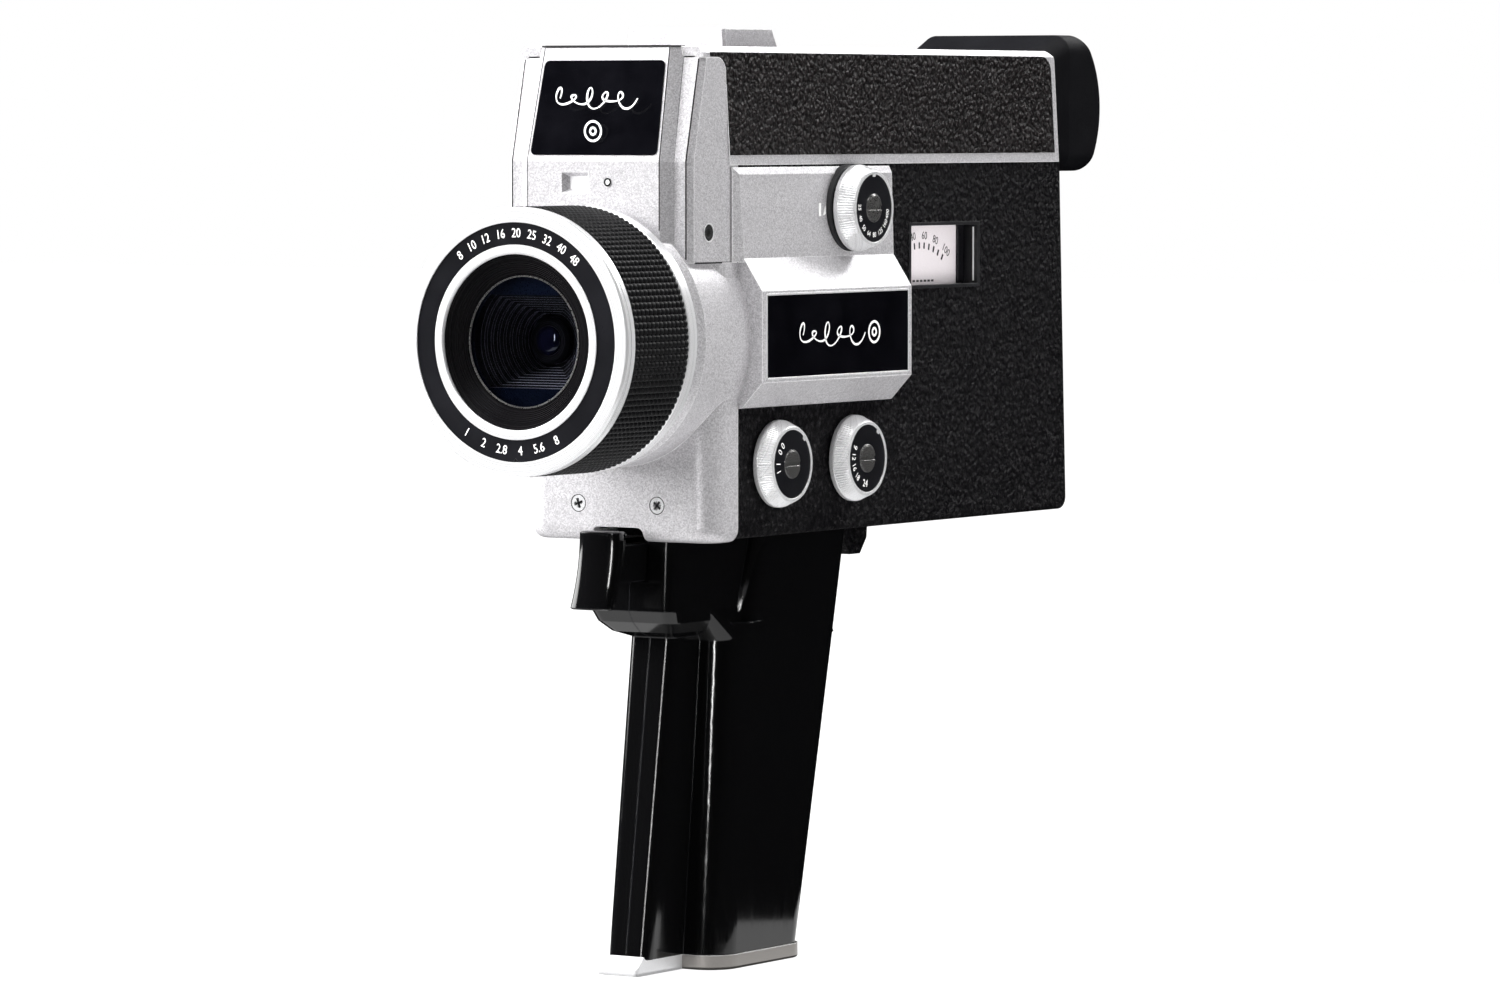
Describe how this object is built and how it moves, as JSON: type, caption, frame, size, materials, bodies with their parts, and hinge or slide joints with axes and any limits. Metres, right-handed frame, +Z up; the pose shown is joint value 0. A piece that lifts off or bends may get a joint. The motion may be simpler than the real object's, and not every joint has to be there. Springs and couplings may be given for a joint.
{
  "type": "cine camera",
  "caption": "Pistol-grip cine camera in silver and black, with a ribbed lens ring, side dials, a counter window, a rubber eyecup and a trigger.",
  "frame": {"origin": "mouth of the tripod socket, in the middle of the grip's base", "axes": "+Z up, lens looks along -Y, dials on the +X side"},
  "size_m": [0.0645, 0.225, 0.2156],
  "materials": {
    "bright_ring": "satin turned and anodised",
    "black_ring": "semi-gloss black",
    "black_optics": "black anodised",
    "coated_glass": "coated optical glass",
    "circuit_board": "solder mask",
    "ribbed_rubber": "moulded ribs",
    "silver_paint": "silver paint with fine flake",
    "nameplate_black": "polished black",
    "window_white": "milky",
    "lamp_lens": "clear lamp lens",
    "soft_rubber": "smooth",
    "bright_steel": "bright turned steel",
    "leatherette": "fine embossed grain",
    "crackle_black": "coarse crackle grain",
    "matte_black": "matte moulded",
    "dial_silver": "satin, knurled",
    "dial_black": "printed black",
    "scale_card": "printed card",
    "clear_window": "clear moulded cover",
    "needle_red": "red lacquer",
    "eyecup_rubber": "matte",
    "gloss_black": "high gloss moulding",
    "battery_sleeve": "shrink sleeve",
    "base_metal": "satin silver",
    "bush_brass": "turned"
  },
  "bodies": {
    "camera": {"front_bezel": "bright_ring", "name_ring": "black_ring", "ribbed_cone": "black_optics", "front_glass": "coated_glass", "light_hood": "black_optics", "lens_module": "black_optics", "sensor_board": "circuit_board", "lens_barrel": "black_optics", "front_lower_casting": "silver_paint", "front_upper_casting": "silver_paint", "front_nameplate": "nameplate_black", "sensor_window": "window_white", "status_lamp": "lamp_lens", "microphone_grommet": "soft_rubber", "case_screws": "bright_steel", "top_cover": "silver_paint", "upper_panel_right": "leatherette", "upper_panel_left": "leatherette", "side_cover_right": "crackle_black", "side_cover_left": "crackle_black", "port_block": "matte_black", "bottom_cover": "crackle_black", "rear_cover": "crackle_black", "side_housing": "silver_paint", "side_nameplate": "nameplate_black", "filter_base_disc": "matte_black", "rotary_switches": "matte_black", "main_board": "circuit_board", "counter_frame": "matte_black", "counter_card": "scale_card", "counter_window": "clear_window", "meter_movement": "matte_black", "rocker_base": "matte_black", "eyecup": "eyecup_rubber", "eyepiece_tube": "matte_black", "eyepiece_lens": "coated_glass", "viewfinder_display": "matte_black", "grip_right": "gloss_black", "grip_left": "gloss_black", "battery": "battery_sleeve", "trigger_spring": "bright_steel", "trigger_switch": "matte_black", "base_plate": "base_metal", "base_foot": "base_metal", "tripod_bush": "bush_brass"},
    "focus_ring": {"focus_ring": "bright_ring", "focus_rubber": "ribbed_rubber"},
    "power_dial": {"power_dial": "dial_silver", "power_dial_disc": "dial_black", "power_dial_screw": "bright_steel"},
    "rate_dial": {"rate_dial": "dial_silver", "rate_dial_disc": "dial_black", "rate_dial_screw": "bright_steel"},
    "filter_dial": {"filter_dial": "dial_silver", "filter_dial_disc": "dial_black", "filter_dial_screw": "bright_steel"},
    "trigger": {"trigger": "gloss_black"},
    "zoom_rocker": {"zoom_rocker": "silver_paint"},
    "counter_needle": {"counter_needle": "needle_red"},
    "port_door": {"port_door": "crackle_black"}
  },
  "joints": [
    {"name": "focus_turn", "type": "hinge", "parent": "camera", "child": "focus_ring", "pos_m": [0, -0.063, 0.1455], "axis": [0, 1, 0], "range_deg": [-60, 60]},
    {"name": "power_turn", "type": "hinge", "parent": "camera", "child": "power_dial", "pos_m": [0.027, -0.0105, 0.1165], "axis": [1, 0, 0], "range_deg": [0, 45]},
    {"name": "rate_turn", "type": "hinge", "parent": "camera", "child": "rate_dial", "pos_m": [0.027, 0.0221, 0.1165], "axis": [1, 0, 0], "range_deg": [-90, 90]},
    {"name": "filter_turn", "type": "hinge", "parent": "camera", "child": "filter_dial", "pos_m": [0.029, 0.0197, 0.17446], "axis": [1, 0, 0], "range_deg": [-135, 135]},
    {"name": "trigger_pull", "type": "slide", "parent": "camera", "child": "trigger", "axis": [0, 1, 0], "range_m": [0, 0.0035], "stiffness_N_per_m": 600, "springref_m": -0.002, "deforming": ["trigger_spring"]},
    {"name": "zoom_tilt", "type": "hinge", "parent": "camera", "child": "zoom_rocker", "pos_m": [0, -0.00065, 0.2129], "axis": [1, 0, 0], "range_deg": [-3, 3], "stiffness_Nm_per_rad": 0.6},
    {"name": "needle_swing", "type": "hinge", "parent": "camera", "child": "counter_needle", "pos_m": [0.023, 0.051, 0.1395], "axis": [-1, 0, 0], "range_deg": [0, 60], "stiffness_Nm_per_rad": 0.0002, "springref_deg": -11.46},
    {"name": "port_door_swing", "type": "hinge", "parent": "camera", "child": "port_door", "pos_m": [-0.0254, 0.095, 0.1121], "axis": [0, -1, 0], "range_deg": [0, 95]}
  ]
}
